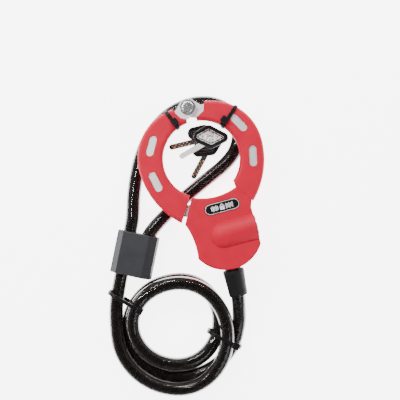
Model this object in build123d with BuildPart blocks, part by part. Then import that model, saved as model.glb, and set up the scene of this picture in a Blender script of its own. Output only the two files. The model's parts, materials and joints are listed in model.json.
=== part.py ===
from build123d import *
import math
import os

os.makedirs("parts", exist_ok=True)

# A hinged cuff lock with a looped steel security cable, lying flat on a floor.
# Millimetres, +Z up. The origin is the centre of the cuff's opening, halfway
# through the cuff's thickness. Most of the lock is drawn in its own frame: x runs
# along the key barrel, y from the lock body towards the hinge.

# ---------------------------------------------------------------- driving sizes
lock_tilt = 15.0                # degrees the lock lies turned from the model axes
ring_height = 21.4              # cuff's mid plane above the floor
floor_z = -ring_height

ring_inner = 32.5               # radius of the cuff's opening
ring_widest = (53.2, 3.0)       # where each side of the cuff is widest
upper_radius = 43.2             # its outer edge is two arcs that meet at the widest place
lower_radius = 68.4
ring_half = 7.5                 # half the cuff's thickness
cover_corner = 3.0
core_inner = 35.0               # inner radius of the steel plates inside the covers
core_inset = 2.0                # from the cuff's outer edge to the plates'
core_neck = 52.0                # outer radius of the plates where they enter the lock body
core_gap = 0.1                  # clearance round the plates
plate_pitch = 3.0
plate_thick = 2.9
plate_levels = [-4.5, -1.5, 1.5, 4.5]
core_half = 2 * plate_pitch + 0.05

hinge_at = (0.0, 44.5)
hinge_angle = 90.0
eye_radius = 7.5                # rounded plate ends at the hinge
hinge_pin_radius = 4.0
hinge_play = 0.05

arm_end = 238.0                 # swing arm's free end, degrees round the ring
seam_left = 241.2               # the lock body's two seams
seam_right = 305.9 - 360.0
window_angles = [61.0, 102.0]   # from the hinge, each way round
window_length = 17.6
window_width = 6.4

body_half = 9.0                 # half the lock body's thickness
wall = 1.8
barrel_y = -66.5                # axis of the key barrel
barrel_bulge = 14.2             # radius of the bulge in the shells over the barrel
bulge_start = 1.5
housing_radius = 11.0
housing_start = -3.0
housing_end = 27.4
plug_radius = 6.5
running = 0.05

throw_radius = 3.25             # cam pin's distance from the plug axis
bolt_x = -13.0
bolt_width = 7.4
bolt_travel = throw_radius * math.sqrt(2)   # a quarter turn of the cam

tongue_inner = 82.0             # the tongue is an arc round the hinge
tongue_outer = 92.0
tongue_start = 252.0
tongue_end = 266.8

cable_radius = 6.0
exit_x = 1.8                    # cable's place in the lock body
anchor_face = -95.2
relief_root = -95.4
relief_heading = -78.0          # the way the cable leaves, seen from the front
relief_tilt = 5.0               # degrees the cable leaves downwards
relief_length = 24.0

ferrule_centre = (-56.9, -81.3)
ferrule_tilt = -11.5            # degrees it lies turned, and rolled onto its left edge
ferrule_roll = 12.0
ferrule_size = (35.4, 36.6, 18.0)
ferrule_bevel = (6.4, 5.4)
ferrule_bore_x = 8.1

tilt = math.radians(lock_tilt)
lock_x = (math.cos(tilt), math.sin(tilt), 0.0)
lock_y = (-math.sin(tilt), math.cos(tilt), 0.0)
mid_radius = 43.25              # windows and rivets sit on this circle


# ---------------------------------------------------------------- helpers
def save(piece, name):
    piece.part.label = name
    export_step(piece.part, f"parts/{name}.step")


def polar(radius, angle):
    a = math.radians(angle)
    return (radius * math.cos(a), radius * math.sin(a))


def lock_point(x, y, z=0.0):
    """A point of the lock's own frame, in the model's frame."""
    return (x * lock_x[0] + y * lock_y[0], x * lock_x[1] + y * lock_y[1], z)


def level(z):
    """The lock's horizontal plane at height z."""
    return Plane(origin=(0, 0, z), x_dir=lock_x, z_dir=(0, 0, 1))


def radial_plane(angle):
    """Upright plane through the ring's axis: x outwards, y up."""
    a = math.radians(angle + lock_tilt)
    return Plane(origin=(0, 0, 0), x_dir=(math.cos(a), math.sin(a), 0),
                 z_dir=(math.sin(a), -math.cos(a), 0))


def barrel_plane(x):
    """Plane across the key barrel: sketch x along the lock's y, sketch y up."""
    return Plane(origin=lock_point(x, barrel_y), x_dir=lock_y, z_dir=lock_x)


def sector(plane, inner, outer, start, arc, centre=(0.0, 0.0)):
    with BuildSketch(plane) as face:
        with BuildLine():
            far = CenterArc(centre, outer, start, arc)
            near = CenterArc(centre, inner, start, arc)
            Line(far @ 0, near @ 0)
            Line(far @ 1, near @ 1)
        make_face()
    return face.sketch


def polygon(plane, points):
    with BuildSketch(plane) as face:
        with BuildLine():
            Polyline(*points, close=True)
        make_face()
    return face.sketch


def rectangle(plane, low, high):
    (x0, y0), (x1, y1) = low, high
    return polygon(plane, [(x0, y0), (x1, y0), (x1, y1), (x0, y1)])


def discs(plane, centres, radius):
    with BuildSketch(plane) as face:
        with Locations(*centres):
            Circle(radius)
    return face.sketch


def cylinder_x(x0, x1, radius, centre=(0.0, 0.0)):
    """A round bar along the key barrel, as its end face and its length."""
    return discs(barrel_plane(x0), [centre], radius), x1 - x0


# ---------------------------------------------------------------- lock outline
left_inner = polar(33.8, seam_left)
left_outer = polar(57.2, seam_left)
right_inner = polar(37.5, seam_right)
right_outer = polar(54.3, seam_right)
left_waist = (-23.8, -66.0)
left_foot = (-24.3, -80.6)
lobe_bottom = (2.9, -96.4)
side_x = 29.7
right_foot = (side_x, -81.6)
right_shoulder = (side_x, -50.0)
inner_edge = (2.0, -33.9)


def body_outline(plane, inset=0.0):
    """The lock body seen from the front, drawn in by inset."""
    with BuildSketch(plane) as face:
        with BuildLine():
            Line(left_inner, left_outer)
            ThreePointArc(left_outer, left_waist, left_foot)
            ThreePointArc(left_foot, lobe_bottom, right_foot)
            Line(right_foot, right_shoulder)
            Line(right_shoulder, right_outer)
            Line(right_outer, right_inner)
            ThreePointArc(right_inner, inner_edge, left_inner)
        make_face()
        if inset:
            offset(amount=-inset, kind=Kind.INTERSECTION)
    return face.sketch


screw_places = [(22.5, -45.5), (4.0, -48.8), (-17.5, -79.5), (20.5, -83.0)]
boss_radius = 3.0
screw_radius = 1.5


# ---------------------------------------------------------------- cuff outline
def edge_point(side, angle, inset=0.0):
    """Where a line from the cuff's axis crosses the outer edge of its right (1) or left (-1) arm."""
    dx, dy = polar(1.0, angle)
    wide_x, wide_y = ring_widest
    for radius in (upper_radius, lower_radius):
        centre_x = side * (wide_x - radius)
        along = dx * centre_x + dy * wide_y
        reach = along + math.sqrt(along ** 2 + (radius - inset) ** 2 - centre_x ** 2 - wide_y ** 2)
        if reach * dy >= wide_y:
            break
    return (reach * dx, reach * dy)


def arm_outline(plane, side, start, end, inner, inset=0.0):
    """One arm of the cuff seen from the front, between two angles round its axis."""
    wide = (side * (ring_widest[0] - inset), ring_widest[1])
    wide_angle = math.degrees(math.atan2(wide[1], wide[0]))
    first, last = edge_point(side, start, inset), edge_point(side, end, inset)
    with BuildSketch(plane) as face:
        with BuildLine():
            ThreePointArc(first, edge_point(side, (start + wide_angle) / 2, inset), wide)
            ThreePointArc(wide, edge_point(side, (wide_angle + end) / 2, inset), last)
            Line(last, polar(inner, end))
            ThreePointArc(polar(inner, end), polar(inner, (start + end) / 2), polar(inner, start))
            Line(polar(inner, start), first)
        make_face()
    return face.sketch


arm_ends = {1: (seam_right, hinge_angle - 2), -1: (hinge_angle + 2, arm_end)}


def arm_bar(side):
    """An arm's outside, rounded along its length."""
    start, end = arm_ends[side]
    with BuildPart() as bar:
        extrude(arm_outline(level(-ring_half), side, start, end, ring_inner), amount=2 * ring_half)
        fillet(bar.edges().filter_by(GeomType.CIRCLE), cover_corner)
    return bar.part


# ---------------------------------------------------------------- arm covers
# Cut away at the hinge: everything right of the first line, left of the second.
hinge_trims = {
    -1: [(-14.0, 62), (-13.0, 46.9), (-12.3, 45.6), (-11.1, 41.6), (-8.3, 37.2), (-3.5, 34.9),
         (-4.2, 30), (30, 30), (30, 62)],
    1: [(15.5, 62), (14.6, 46.4), (11.9, 38.0), (5.1, 34.6), (4.6, 32.6), (4.6, 30), (-30, 30), (-30, 62)],
}
cover_cut_half = ring_half + 1


def window_slots(angles, side):
    """The long windows through a cover's top or bottom skin."""
    with BuildSketch(level(side * (core_half - 0.2))) as face:
        for angle in angles:
            with PolarLocations(mid_radius, 1, start_angle=angle):
                SlotOverall(window_length, window_width, rotation=90)
    return face.sketch


def arm_cover(arm):
    """The right (1) or left (-1) arm's cover, hollow for the plates."""
    start, end = arm_ends[arm]
    cavity = arm_outline(level(-core_half), arm, start - 1, end + 1, core_inner - core_gap,
                         core_inset - core_gap)
    with BuildPart() as cover:
        add(arm_bar(arm))
        extrude(cavity, amount=2 * core_half, mode=Mode.SUBTRACT)
        extrude(polygon(level(-cover_cut_half), hinge_trims[arm]), amount=2 * cover_cut_half,
                mode=Mode.SUBTRACT)
        for skin in (1, -1):
            extrude(window_slots([hinge_angle - arm * a for a in window_angles], skin), amount=skin * 4,
                    mode=Mode.SUBTRACT)
        if arm == 1:
            # the inner corner is cut back where the arm meets the lock body
            corner = [polar(31, seam_right - 1), polar(31, seam_right + 4.2),
                      polar(33.4, seam_right + 4.0), polar(37.6, seam_right - 0.1)]
            extrude(polygon(level(-cover_cut_half), corner), amount=2 * cover_cut_half,
                    mode=Mode.SUBTRACT)
    return cover


save(arm_cover(-1), "swing_arm_cover")
save(arm_cover(1), "fixed_arm_cover")


# ---------------------------------------------------------------- steel plates
rivet_radius = 2.0
swing_rivet_angles = [125.0, 171.5, 222.0]
fixed_rivet_angles = [180.0 - a for a in swing_rivet_angles]
neck_span = (8.0, 14.0)         # degrees from the hinge where the eye runs into the arm


def hinge_eye(plane, side):
    """The rounded plate end round the hinge, drawn out to the arm."""
    near, far = (hinge_angle - side * turn for turn in neck_span)
    with BuildSketch(plane) as face:
        with Locations(hinge_at):
            Circle(eye_radius)
        with BuildLine():
            Polyline(edge_point(side, near, core_inset), edge_point(side, far, core_inset),
                     polar(core_inner, far), polar(core_inner, near), close=True)
        make_face()
        make_hull()
    return face.sketch


def plate_bottom(z):
    return level(z - plate_thick / 2)


pocket_play = 0.4
notch_low = (bolt_x - bolt_width / 2 - pocket_play, -60.0)
notch_high = (bolt_x + bolt_width / 2 + pocket_play, -41.0)


def swing_plate(z, has_eye, has_tongue):
    base = plate_bottom(z)
    start = 100.0 if has_eye else 108.0
    with BuildPart() as plate:
        extrude(arm_outline(base, -1, start, arm_end, core_inner, core_inset), amount=plate_thick)
        if has_eye:
            extrude(hinge_eye(base, -1), amount=plate_thick)
            extrude(discs(base, [hinge_at], hinge_pin_radius + hinge_play), amount=plate_thick,
                    mode=Mode.SUBTRACT)
        if has_tongue:
            tongue = sector(base, tongue_inner, tongue_outer, tongue_start, tongue_end - tongue_start,
                            hinge_at)
            extrude(tongue, amount=plate_thick)
            extrude(rectangle(base, notch_low, notch_high), amount=plate_thick, mode=Mode.SUBTRACT)
        extrude(discs(base, [polar(mid_radius, a) for a in swing_rivet_angles], rivet_radius),
                amount=plate_thick, mode=Mode.SUBTRACT)
    return plate


for number, z in enumerate(plate_levels, start=1):
    plate = swing_plate(z, has_eye=number in (2, 4), has_tongue=number in (2, 3))
    save(plate, f"swing_plate_{number}")

window_half = housing_radius + 0.2
barrel_window = ((-8.2, barrel_y - window_half), (45.0, barrel_y + window_half))
anchor_head_radius = 7.0
anchor_neck_radius = 6.4
anchor_head_span = (-83.4, -80.0)
head_pocket = ((exit_x - 7.2, anchor_head_span[0] - 0.1), (exit_x + 7.2, anchor_head_span[1] + 0.1))
neck_notch = ((exit_x - 6.55, -110.0), (exit_x + 6.55, -83.0))
bolt_slot_left = bolt_x - bolt_width / 2 - 0.2
bolt_slot_right = bolt_x + bolt_width / 2 + 0.2
bolt_slot_end = -73.2
seam_step = 3.7
body_core_inner = 39.7


def body_core(base, thick):
    """The steel filling of the lock body, open where the barrel and the cable's end sit."""
    with BuildPart() as core:
        extrude(body_outline(base, wall + 0.3), amount=thick)
        for low, high in (barrel_window, head_pocket, neck_notch):
            extrude(rectangle(base, low, high), amount=thick, mode=Mode.SUBTRACT)
        extrude(discs(base, screw_places, screw_radius + 0.2), amount=thick, mode=Mode.SUBTRACT)
    return core.part


def tongue_pocket(base):
    return sector(base, 70.0, tongue_outer + pocket_play, 243.0, 25.0, hinge_at)


def fixed_plate(number, z):
    has_eye = number in (1, 3)
    in_the_middle = number in (2, 3)
    base = plate_bottom(z)
    end = 80.0 if has_eye else 72.0
    start = seam_right + seam_step
    with BuildPart() as plate:
        add(body_core(base, plate_thick))
        if in_the_middle:
            # room for the tongue, the sliding bolt and, below them, the spacer
            extrude(tongue_pocket(base), amount=plate_thick, mode=Mode.SUBTRACT)
            extrude(rectangle(base, (-60, -120), (bolt_slot_right, -20)), amount=plate_thick,
                    mode=Mode.SUBTRACT)
            extrude(rectangle(base, (-60, -120), (60, barrel_window[1][1])), amount=plate_thick,
                    mode=Mode.SUBTRACT)
        if number == 4:
            block = ((bolt_slot_left, bolt_slot_end), (-8.0, -56.8))
            extrude(rectangle(base, *block), amount=plate_thick, mode=Mode.SUBTRACT)
        extrude(sector(base, body_core_inner, core_neck, seam_right - 5, 5 + seam_step + 1),
                amount=plate_thick)
        extrude(arm_outline(base, 1, start, end, core_inner, core_inset), amount=plate_thick)
        if has_eye:
            extrude(hinge_eye(base, 1), amount=plate_thick)
            extrude(discs(base, [hinge_at], hinge_pin_radius), amount=plate_thick,
                    mode=Mode.SUBTRACT)
        extrude(discs(base, [polar(mid_radius, a) for a in fixed_rivet_angles], rivet_radius),
                amount=plate_thick, mode=Mode.SUBTRACT)
    return plate


for number, z in enumerate(plate_levels, start=1):
    save(fixed_plate(number, z), f"fixed_plate_{number}")

# Below the two middle plates one thick spacer guides the bolt and holds the cable's end.
spacer_half = plate_pitch - 0.05
with BuildPart() as body_spacer:
    spacer_base = level(-spacer_half)
    add(body_core(spacer_base, 2 * spacer_half))
    extrude(tongue_pocket(spacer_base), amount=2 * spacer_half, mode=Mode.SUBTRACT)
    extrude(rectangle(spacer_base, (bolt_slot_left, bolt_slot_end), (60, 0)), amount=2 * spacer_half,
            mode=Mode.SUBTRACT)
save(body_spacer, "body_spacer")


def arm_rivets(angles):
    half = 2 * plate_pitch - (plate_pitch - plate_thick) / 2
    with BuildPart() as rivets:
        extrude(discs(level(-half), [polar(mid_radius, a) for a in angles], rivet_radius),
                amount=2 * half)
    return rivets


save(arm_rivets(swing_rivet_angles), "swing_arm_rivets")
save(arm_rivets(fixed_rivet_angles), "fixed_arm_rivets")


# ---------------------------------------------------------------- hinge hardware
washer_radius = 6.6
washer_thick = 0.7
stack_top = 2 * plate_pitch
head_bottom = stack_top + washer_thick + 0.05
hinge_head_radius = 4.8
hinge_head_height = 2.4

with BuildPart() as hinge_bolt:
    extrude(discs(level(-8.4), [hinge_at], hinge_pin_radius), amount=8.4 + head_bottom)
    extrude(discs(level(head_bottom), [hinge_at], hinge_head_radius), amount=hinge_head_height)
    head_rim = hinge_bolt.edges().filter_by(GeomType.CIRCLE).sort_by(Axis.Z)[-1]
    fillet(head_rim, 0.9)
    # a screwdriver slot across the head
    with BuildSketch(level(head_bottom + hinge_head_height)):
        with Locations(hinge_at):
            Rectangle(7.4, 1.1, rotation=-60)
    extrude(amount=-1.0, mode=Mode.SUBTRACT)
save(hinge_bolt, "hinge_bolt")

for name, bottom in (("hinge_washer_top", stack_top), ("hinge_washer_bottom", -stack_top - washer_thick)):
    with BuildPart() as washer:
        extrude(discs(level(bottom), [hinge_at], washer_radius), amount=washer_thick)
        extrude(discs(level(bottom), [hinge_at], hinge_pin_radius + 0.03), amount=washer_thick,
                mode=Mode.SUBTRACT)
    save(washer, name)

with BuildPart() as hinge_nut:
    with BuildSketch(level(-8.8)):
        with Locations(hinge_at):
            RegularPolygon(6.0, 6)
    extrude(amount=8.8 - head_bottom)
    extrude(discs(level(-8.8), [hinge_at], hinge_pin_radius + 0.01), amount=3, mode=Mode.SUBTRACT)
save(hinge_nut, "hinge_nut")


# ---------------------------------------------------------------- lock body shells
badge_centre = (6.2, -43.5)
badge_size = (29.8, 9.2)
badge_pocket_z = body_half - 0.8
bezel_radius = 8.4
relief_neck = 6.8
boss_end = stack_top + 0.02
thread_end = 7.9
counterbore = 1.5
exit_hole = 7.1


def is_seam(edge):
    """Whether an edge of the body's rim points at the ring's axis, as its two seams do."""
    middle = edge.center()
    outwards = Vector(middle.X, middle.Y, 0).normalized()
    return edge.geom_type == GeomType.LINE and abs(edge.tangent_at(0.5).dot(outwards)) > 0.99


def lock_shell(side):
    """Front (side 1) or back (side -1) half of the body, parted on the mid plane."""
    with BuildPart() as shell:
        extrude(body_outline(level(0)), amount=side * body_half)
        rim = shell.faces().sort_by(Axis.Z)[-1 if side > 0 else 0].edges()
        fillet([edge for edge in rim if not is_seam(edge)], 1.4)
        # the round-ended bulge over the key barrel
        with BuildSketch(Plane(origin=lock_point(0, barrel_y), x_dir=lock_x, z_dir=(0, 0, 1))):
            with BuildLine():
                nose = CenterArc((bulge_start, 0), barrel_bulge, 90, 90)
                Polyline(nose @ 0, (side_x, barrel_bulge), (side_x, 0), nose @ 1)
            make_face()
        revolve(axis=Axis(lock_point(0, barrel_y), lock_x), revolution_arc=side * 180)
        # hollow inside
        extrude(body_outline(level(0), wall), amount=side * (body_half - wall), mode=Mode.SUBTRACT)
        face, length = cylinder_x(housing_start - 0.3, housing_end + 0.1, housing_radius + 0.2)
        extrude(face, amount=length, mode=Mode.SUBTRACT)
        # screw bosses reach in to the steel plates
        extrude(discs(level(side * boss_end), screw_places, boss_radius),
                amount=side * (body_half - wall - boss_end + 0.2))
        if side > 0:
            extrude(discs(level(boss_end), screw_places, screw_radius + 0.02),
                    amount=thread_end - boss_end, mode=Mode.SUBTRACT)
            with BuildSketch(level(badge_pocket_z)):
                with Locations(badge_centre):
                    SlotOverall(badge_size[0] + 0.2, badge_size[1] + 0.2)
            extrude(amount=3, mode=Mode.SUBTRACT)
        else:
            extrude(discs(level(-12), screw_places, screw_radius + 0.2), amount=12 - boss_end + 0.1,
                    mode=Mode.SUBTRACT)
            extrude(discs(level(-12), screw_places, 3.05), amount=12 - body_half + counterbore,
                    mode=Mode.SUBTRACT)
        # openings for the plates, the tongue, the key bezel and the cable
        extrude(sector(level(0), body_core_inner - core_gap, core_neck + core_gap, seam_right - 4, 6),
                amount=side * core_half, mode=Mode.SUBTRACT)
        extrude(sector(level(0), tongue_inner - 0.4, tongue_outer + 0.4, 248.0, 14.0, hinge_at),
                amount=side * (plate_pitch + 0.05), mode=Mode.SUBTRACT)
        face, length = cylinder_x(housing_end, 35.0, bezel_radius + 0.05)
        extrude(face, amount=length, mode=Mode.SUBTRACT)
        with BuildSketch(Plane(origin=lock_point(exit_x, -93.0), x_dir=lock_x,
                               z_dir=(-lock_y[0], -lock_y[1], 0))):
            Circle(exit_hole)
        extrude(amount=8, mode=Mode.SUBTRACT)
    return shell


save(lock_shell(1), "front_shell")
save(lock_shell(-1), "back_shell")

with BuildPart() as shell_screws:
    extrude(discs(level(-body_half + counterbore), screw_places, screw_radius),
            amount=thread_end - 0.1 + body_half - counterbore)
    extrude(discs(level(-body_half + 0.1), screw_places, 2.9), amount=counterbore - 0.1)
    with BuildSketch(level(-body_half + 0.1)):
        with Locations(*screw_places):
            RegularPolygon(1.2, 6)
    extrude(amount=0.9, mode=Mode.SUBTRACT)
save(shell_screws, "shell_screws")

with BuildPart() as badge:
    with BuildSketch(level(badge_pocket_z + 0.02)):
        with Locations(badge_centre):
            SlotOverall(*badge_size)
    extrude(amount=1.3)
    fillet(badge.faces().sort_by(Axis.Z)[-1].edges(), 0.3)
save(badge, "badge")


# ---------------------------------------------------------------- key barrel
pin_places = [2.0, 6.5, 11.0, 15.5, 20.0]
keyway_width = 6.2
keyway_height = 2.7
pin_radius = 1.4
key_pin_low = 1.5
key_pin_top = 6.25
driver_low = 6.65
driver_top = 8.6
cap_low = 10.05
cap_top = 10.7
cap_span = (-0.5, 22.5)
cap_width = 4.1
flange_start = 26.1
flange_radius = 7.5


def pins(low, high, radius, hollow=0.0):
    """One upright pin, or tube, over each pin place of the barrel."""
    places = [(x, barrel_y) for x in pin_places]
    with BuildPart() as group:
        extrude(discs(level(low), places, radius), amount=high - low)
        if hollow:
            extrude(discs(level(low), places, hollow), amount=high - low, mode=Mode.SUBTRACT)
    return group


with BuildPart() as lock_housing:
    face, length = cylinder_x(housing_start, housing_end, housing_radius)
    extrude(face, amount=length)
    face, length = cylinder_x(housing_start, housing_end, plug_radius + running)
    extrude(face, amount=length, mode=Mode.SUBTRACT)
    face, length = cylinder_x(flange_start - 0.05, housing_end, flange_radius + running)
    extrude(face, amount=length, mode=Mode.SUBTRACT)
    extrude(discs(level(5.0), [(x, barrel_y) for x in pin_places], pin_radius + 0.06), amount=10,
            mode=Mode.SUBTRACT)
    extrude(rectangle(level(cap_low - 0.02), (cap_span[0] - 0.1, barrel_y - cap_width / 2 - 0.05),
                      (cap_span[1] + 0.1, barrel_y + cap_width / 2 + 0.05)),
            amount=3, mode=Mode.SUBTRACT)
save(lock_housing, "lock_housing")

with BuildPart() as pin_cap:
    extrude(rectangle(level(cap_low), (cap_span[0], barrel_y - cap_width / 2),
                      (cap_span[1], barrel_y + cap_width / 2)), amount=cap_top - cap_low)
save(pin_cap, "pin_cap")

plug_back = -4.6
clip_groove = (-4.1, -3.1)
tail_radius = 2.6
tail_end = -7.6
cam_start = -7.8
cam_end = -4.7
# a dowel through the plug's tail holds the cam on
dowel_x = (tail_end + plug_back) / 2
dowel_plane = Plane(origin=lock_point(dowel_x, barrel_y), z_dir=(lock_y[0], lock_y[1], 1.0))
dowel_radius = 0.8

with BuildPart() as key_plug:
    for x0, x1, radius in ((plug_back, flange_start, plug_radius), (flange_start, 28.6, flange_radius),
                           (tail_end, plug_back, tail_radius)):
        face, length = cylinder_x(x0, x1, radius)
        extrude(face, amount=length)
    with BuildSketch(barrel_plane(clip_groove[0])):
        Circle(plug_radius + 1)
        Circle(5.4, mode=Mode.SUBTRACT)
    extrude(amount=clip_groove[1] - clip_groove[0], mode=Mode.SUBTRACT)
    with BuildSketch(barrel_plane(-1.0)):
        Rectangle(keyway_width, keyway_height)
    extrude(amount=35, mode=Mode.SUBTRACT)
    extrude(discs(level(key_pin_low - 0.5), [(x, barrel_y) for x in pin_places], pin_radius + 0.05),
            amount=8, mode=Mode.SUBTRACT)
    extrude(discs(dowel_plane, [(0, 0)], dowel_radius), amount=10, both=True, mode=Mode.SUBTRACT)
save(key_plug, "key_plug")

save(pins(key_pin_low, key_pin_top, pin_radius), "key_pins")
save(pins(driver_low, driver_top, pin_radius), "driver_pins")
save(pins(driver_top + 0.02, cap_low - 0.02, pin_radius - 0.05, hollow=0.95), "pin_springs")

with BuildPart() as plug_clip:
    with BuildSketch(barrel_plane(clip_groove[0] + 0.08)):
        Circle(6.95)
        Circle(5.42, mode=Mode.SUBTRACT)
        with Locations((-6, 0)):
            Rectangle(5, 7, mode=Mode.SUBTRACT)
    extrude(amount=0.82)
save(plug_clip, "plug_clip")

# The cam pin starts down and to the lobe's side; a quarter turn carries it past the top.
throw = throw_radius / math.sqrt(2)
cam_pin_at = (-throw, throw)
dowel_half = 5.9

with BuildPart() as cam:
    face, length = cylinder_x(cam_start, cam_end, 6.3)
    extrude(face, amount=length)
    face, length = cylinder_x(tail_end - 0.05, cam_end, tail_radius + 0.02)
    extrude(face, amount=length, mode=Mode.SUBTRACT)
    face, length = cylinder_x(bolt_x - 3.6, cam_start, 1.5, cam_pin_at)
    extrude(face, amount=length)
    extrude(discs(dowel_plane, [(0, 0)], dowel_radius), amount=10, both=True, mode=Mode.SUBTRACT)
save(cam, "cam")

with BuildPart() as cam_dowel:
    extrude(discs(dowel_plane, [(0, 0)], dowel_radius), amount=dowel_half, both=True)
save(cam_dowel, "cam_dowel")

# The bolt is drawn withdrawn: its tip is just clear of the tongue.
bolt_tip = -47.6
bolt_half = plate_pitch - 0.1
block_span = (-72.4, -62.0)
block_top = 5.7

with BuildPart() as lock_bolt:
    left = bolt_x - bolt_width / 2
    right = bolt_x + bolt_width / 2
    extrude(rectangle(level(-bolt_half), (left, block_span[0]), (right, bolt_tip)), amount=2 * bolt_half)
    extrude(rectangle(level(0), (left, block_span[0]), (right, block_span[1])), amount=block_top)
    pin_y = barrel_y + cam_pin_at[0]
    extrude(rectangle(level(0.4), (left - 1, pin_y - 1.75), (right + 1, pin_y + 1.75)),
            amount=block_top, mode=Mode.SUBTRACT)
save(lock_bolt, "lock_bolt")

with BuildPart() as keyhole_bezel:
    with BuildSketch(barrel_plane(housing_end + 0.15)):
        Circle(bezel_radius)
        Circle(flange_radius + 0.1, mode=Mode.SUBTRACT)
    extrude(amount=3.2)
    with BuildSketch(barrel_plane(30.05)):
        Circle(9.7)
        Circle(flange_radius + 0.1, mode=Mode.SUBTRACT)
    extrude(amount=0.7)
    fillet(keyhole_bezel.edges().filter_by(GeomType.CIRCLE).sort_by(Axis(lock_point(0, 0), lock_x))[-1], 0.3)
save(keyhole_bezel, "keyhole_bezel")


# ---------------------------------------------------------------- cable end in the body
down_y = (-lock_y[0], -lock_y[1], 0)

with BuildPart() as cable_anchor:
    with BuildSketch(Plane(origin=lock_point(exit_x, anchor_head_span[1]), x_dir=lock_x, z_dir=down_y)):
        Circle(anchor_head_radius)
    extrude(amount=anchor_head_span[1] - anchor_head_span[0])
    with BuildSketch(Plane(origin=lock_point(exit_x, anchor_head_span[0]), x_dir=lock_x, z_dir=down_y)):
        Circle(anchor_neck_radius)
    extrude(amount=anchor_head_span[0] - anchor_face)
    chamfer(cable_anchor.edges().filter_by(GeomType.CIRCLE).sort_by(Axis(lock_point(0, 0), down_y))[0], 0.8)
save(cable_anchor, "cable_anchor")

lean = math.radians(relief_tilt)
heading_x, heading_y = polar(1.0, relief_heading)
relief_dir = Vector(heading_x * math.cos(lean), heading_y * math.cos(lean), -math.sin(lean))
relief_at = Vector(*lock_point(exit_x, relief_root))
relief_side = Vector(-heading_y, heading_x, 0)
relief_plane = Plane(origin=relief_at, x_dir=relief_side, z_dir=relief_side.cross(relief_dir))
relief_bore = cable_radius + 0.04
relief_start = 0.55             # clear of the anchor's face
relief_lip = 2.2                # the shells' rim sits below the collar

with BuildPart() as strain_relief:
    with BuildSketch(relief_plane):
        with BuildLine():
            Polyline((relief_bore, relief_start), (relief_neck, relief_start), (relief_neck, relief_lip),
                     (8.8, relief_lip), (9.0, 3.6), (8.0, 18.5), (8.0, 21.5), (7.6, relief_length),
                     (relief_bore, relief_length), close=True)
        make_face()
    revolve(axis=Axis(relief_at, relief_dir))
save(strain_relief, "strain_relief")


# ---------------------------------------------------------------- free cable
def corner_radii(points):
    """Each corner's arc: 0.45 of the shorter run over the tangent of half the turn."""
    vectors = [Vector(*p) for p in points]
    radii = []
    for before, corner, after in zip(vectors, vectors[1:], vectors[2:]):
        turn = (corner - before).get_angle(after - corner)
        run = min((corner - before).length, (after - corner).length)
        radii.append(0.45 * run / math.tan(math.radians(turn) / 2))
    return radii


def cable_tube(points, name):
    radii = corner_radii(points)
    with BuildPart() as tube:
        with BuildLine() as path:
            FilletPolyline(*points, radius=radii)
        route = path.wires()[0]
        with BuildSketch(Plane(origin=points[0], z_dir=route % 0)):
            Circle(cable_radius)
        sweep(path=route)
    plain = math.pi * cable_radius ** 2 * route.length
    print(name, "length", round(route.length, 1), "volume share", round(tube.part.volume / plain, 4),
          "radii", [round(r) for r in radii])
    save(tube, name)


on_floor = floor_z + cable_radius
ferrule_half = (ferrule_size[0] / 2, ferrule_size[1] / 2, ferrule_size[2] / 2)
ft = math.radians(ferrule_tilt)
roll = math.radians(ferrule_roll)
ferrule_x = (math.cos(ft) * math.cos(roll), math.sin(ft) * math.cos(roll), math.sin(roll))
ferrule_y = (-math.sin(ft), math.cos(ft), 0.0)
# the left lower edge rests on the floor
ferrule_z = floor_z + (ferrule_half[0] - ferrule_bevel[0]) * math.sin(roll) + ferrule_half[2] * math.cos(roll)


def ferrule_point(x, y):
    """A point of the plane through both of the ferrule's bores."""
    return (ferrule_centre[0] + x * ferrule_x[0] + y * ferrule_y[0],
            ferrule_centre[1] + x * ferrule_x[1] + y * ferrule_y[1],
            ferrule_z + x * ferrule_x[2])


half_length = ferrule_half[1]
crimp_length = 24.0
crimp_inset = half_length - crimp_length / 2

# the cable starts just clear of the anchor and bends once it nears the sleeve's end
lead_start = relief_at + relief_dir * 0.45
lead_bend = relief_at + relief_dir * 21
lead_points = [
    (lead_start.X, lead_start.Y, lead_start.Z),
    (lead_bend.X, lead_bend.Y, lead_bend.Z),
    (32.4, -130.0, -8.4),
    (30.4, -146.5, -13.0),
    (24.5, -160.5, -15.2),
]
cable_tube(lead_points, "cable_lead")

tail_points = [
    (-72.6, -139.0, -9.0),
    (-73.0, -123.5, -10.8),
    ferrule_point(-ferrule_bore_x, -half_length - 10),
    ferrule_point(-ferrule_bore_x, -half_length),
]
cable_tube(tail_points, "cable_tail")

# The cable's end bends inside the ferrule's mouth, so the eye starts at the crimp there.
mouth_depth = 1.0
mouth = ferrule_point(ferrule_bore_x, half_length - mouth_depth)
mouth_exit = (-38.9, -56.4, floor_z + 11.0)
eye_points = [
    ferrule_point(-ferrule_bore_x, half_length),
    ferrule_point(-ferrule_bore_x, half_length + 12),
    (-58.3, -31.0, floor_z + 6.8),
    (-55.5, -10.5, on_floor),
    (-50.0, 9.0, on_floor),
    (-41.0, 26.0, on_floor),
    (-27.5, 40.0, on_floor),
    (-10.0, 48.3, on_floor),
    (9.0, 49.3, on_floor),
    (24.5, 42.0, on_floor),
    (32.5, 27.5, on_floor),
    (31.2, 10.5, on_floor),
    (22.0, -3.0, on_floor),
    (5.0, -16.6, on_floor),
    (-13.2, -31.6, on_floor),
    (-28.9, -46.0, floor_z + 7.2),
    mouth_exit,
    mouth,
    ferrule_point(ferrule_bore_x, half_length - crimp_inset),
]
cable_tube(eye_points, "cable_eye")

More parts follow.
